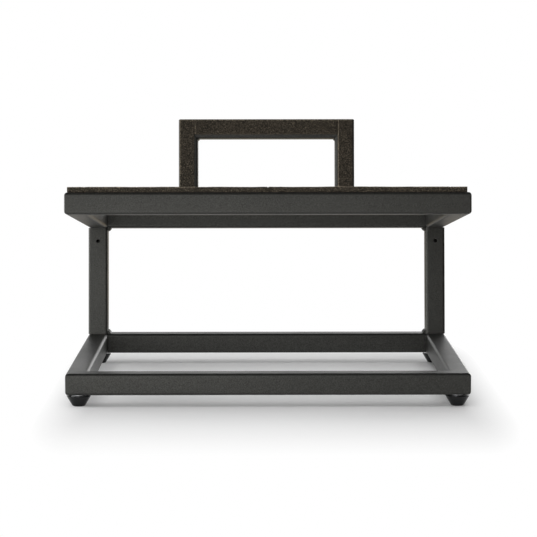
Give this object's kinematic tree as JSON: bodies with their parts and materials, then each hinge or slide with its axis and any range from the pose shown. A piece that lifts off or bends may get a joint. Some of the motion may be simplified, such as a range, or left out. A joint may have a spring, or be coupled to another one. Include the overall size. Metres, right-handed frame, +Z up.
{
  "type": "speaker stand",
  "caption": "Low welded square-tube floor stand for a loudspeaker, with a sloping felt-padded platform, a back support and screw-in levelling feet.",
  "frame": {"origin": "on the floor, under the middle of the stand's overall box", "axes": "+Z up, -Y towards the front, X across the stand"},
  "size_m": [0.37, 0.3198, 0.2524],
  "materials": {
    "powder_coat": "dark grey-black powder coat, satin with a fine texture",
    "felt": "dark brown-grey speckled felt with cut edges",
    "foot_plastic": "glossy black moulded plastic",
    "zinc_steel": "bright zinc-plated steel"
  },
  "bodies": {
    "frame": {"base_front_rail": "powder_coat", "base_right_rail": "powder_coat", "base_rear_rail": "powder_coat", "base_left_rail": "powder_coat", "left_upright": "powder_coat", "right_upright": "powder_coat", "platform_front_rail": "powder_coat", "platform_right_rail": "powder_coat", "platform_rear_rail": "powder_coat", "platform_left_rail": "powder_coat", "back_support_left_post": "powder_coat", "back_support_right_post": "powder_coat", "back_support_top_bar": "powder_coat", "base_upright_welds": "powder_coat", "platform_upright_welds": "powder_coat", "back_support_corner_welds": "powder_coat", "back_support_foot_welds": "powder_coat", "platform_left_pad": "felt", "platform_right_pad": "felt", "platform_front_left_pad": "felt", "platform_front_right_pad": "felt", "back_support_left_pad": "felt", "back_support_right_pad": "felt", "back_support_top_pad": "felt", "foot_inserts": "zinc_steel"},
    "front_left_foot_unit": {"front_left_foot": "foot_plastic", "front_left_stud": "zinc_steel"},
    "front_right_foot_unit": {"front_right_foot": "foot_plastic", "front_right_stud": "zinc_steel"},
    "rear_left_foot_unit": {"rear_left_foot": "foot_plastic", "rear_left_stud": "zinc_steel"},
    "rear_right_foot_unit": {"rear_right_foot": "foot_plastic", "rear_right_stud": "zinc_steel"}
  },
  "joints": [
    {"name": "front_left_foot_screw", "type": "slide", "parent": "frame", "child": "front_left_foot_unit", "axis": [0, 0, -1], "range_m": [0, 0.008]},
    {"name": "front_right_foot_screw", "type": "slide", "parent": "frame", "child": "front_right_foot_unit", "axis": [0, 0, -1], "range_m": [0, 0.008]},
    {"name": "rear_left_foot_screw", "type": "slide", "parent": "frame", "child": "rear_left_foot_unit", "axis": [0, 0, -1], "range_m": [0, 0.008]},
    {"name": "rear_right_foot_screw", "type": "slide", "parent": "frame", "child": "rear_right_foot_unit", "axis": [0, 0, -1], "range_m": [0, 0.008]}
  ]
}
